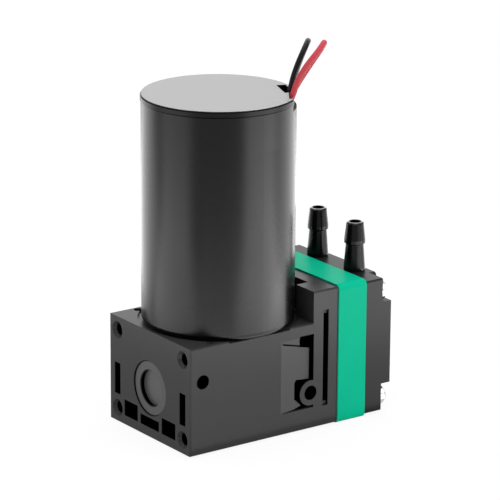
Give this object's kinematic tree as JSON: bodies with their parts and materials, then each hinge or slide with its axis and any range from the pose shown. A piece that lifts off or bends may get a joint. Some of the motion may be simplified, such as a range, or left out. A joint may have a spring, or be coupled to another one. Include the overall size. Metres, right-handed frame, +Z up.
{
  "type": "micro diaphragm pump",
  "caption": "Small motor-driven diaphragm pump for air and vacuum: upright round motor on a square crankcase, side pump head with two upright hose barbs.",
  "frame": {"origin": "middle of the pump's footprint, on the surface that it stands on", "axes": "+Z up along the motor, -Y towards the front plug, +Y towards the pump head, X across"},
  "size_m": [0.0489, 0.0523, 0.0823],
  "materials": {
    "case_plastic": "matt moulded, glass filled",
    "plug_plastic": "satin moulded",
    "head_plastic": "smooth satin moulded",
    "green_plastic": "smooth moulded",
    "can_paint": "gloss black",
    "cap_plastic": "satin moulded",
    "cap_metal": "satin",
    "screw_chrome": "bright plated",
    "steel": "plain",
    "rubber": "matt",
    "lamination": "laminated",
    "copper": "enamelled wire",
    "grey_plastic": "moulded",
    "board": "solder mask",
    "chip": "moulded",
    "brass": "turned",
    "rod_plastic": "moulded",
    "magnet": "sintered",
    "black_sleeve": "soft insulation",
    "red_sleeve": "soft insulation",
    "tinned": "tinned strands"
  },
  "bodies": {
    "housing": {"crankcase": "case_plastic", "front_plug": "plug_plastic", "nut_strips": "steel", "chamber_plate": "green_plastic", "pump_head": "head_plastic", "head_seals": "rubber", "head_screws": "screw_chrome", "diaphragm": "rubber", "motor_can": "can_paint", "motor_screws": "steel", "front_bearing_outer": "steel", "stator_core": "lamination", "windings": "copper", "rear_bracket": "grey_plastic", "rear_bearing_outer": "steel", "wave_washer": "steel", "driver_board": "board", "board_parts": "chip", "end_cap": "cap_plastic", "cap_disc": "cap_metal", "black_lead": "black_sleeve", "red_lead": "red_sleeve", "black_lead_end": "tinned", "red_lead_end": "tinned"},
    "rotor": {"motor_shaft": "steel", "rotor_core": "steel", "rotor_magnet": "magnet", "eccentric": "brass", "set_screw": "steel", "front_bearing_inner": "steel", "rear_bearing_inner": "steel", "crank_bearing_inner": "steel", "pin_washer": "steel", "pin_screw": "steel"},
    "con_rod": {"connecting_rod": "rod_plastic", "crank_bearing_outer": "steel", "diaphragm_support": "steel", "clamp_disc": "steel", "clamp_screw": "steel"},
    "inlet_flap": {"inlet_valve": "rubber"},
    "outlet_flap": {"outlet_valve": "rubber"},
    "crank_balls": {"crank_bearing_balls": "steel"},
    "front_balls": {"front_bearing_balls": "steel"},
    "rear_balls": {"rear_bearing_balls": "steel"}
  },
  "joints": [
    {"name": "rotor_spin", "type": "hinge", "parent": "housing", "child": "rotor", "pos_m": [0, -0.0086, 0], "axis": [0, 0, 1], "continuous": true, "deforming": ["diaphragm"]},
    {"name": "rod_orbit", "type": "hinge", "parent": "rotor", "child": "con_rod", "pos_m": [0, -0.01, 0.0155], "axis": [0, 0, 1], "continuous": true},
    {"name": "crank_ball_spin", "type": "hinge", "parent": "rotor", "child": "crank_balls", "pos_m": [0, -0.01, 0.0155], "axis": [0, 0, 1], "continuous": true},
    {"name": "front_ball_spin", "type": "hinge", "parent": "housing", "child": "front_balls", "pos_m": [0, -0.0086, 0], "axis": [0, 0, 1], "continuous": true},
    {"name": "rear_ball_spin", "type": "hinge", "parent": "housing", "child": "rear_balls", "pos_m": [0, -0.0086, 0], "axis": [0, 0, 1], "continuous": true},
    {"name": "inlet_lift", "type": "slide", "parent": "housing", "child": "inlet_flap", "axis": [0, -1, 0], "range_m": [0, 0.0005], "stiffness_N_per_m": 10},
    {"name": "outlet_lift", "type": "slide", "parent": "housing", "child": "outlet_flap", "axis": [0, 1, 0], "range_m": [0, 0.0005], "stiffness_N_per_m": 10}
  ],
  "couplings": [
    {"joint": "rod_orbit", "follows": "rotor_spin", "ratio": -1},
    {"joint": "crank_ball_spin", "follows": "rotor_spin", "ratio": -0.6111},
    {"joint": "front_ball_spin", "follows": "rotor_spin", "ratio": 0.4},
    {"joint": "rear_ball_spin", "follows": "rotor_spin", "ratio": 0.4}
  ]
}
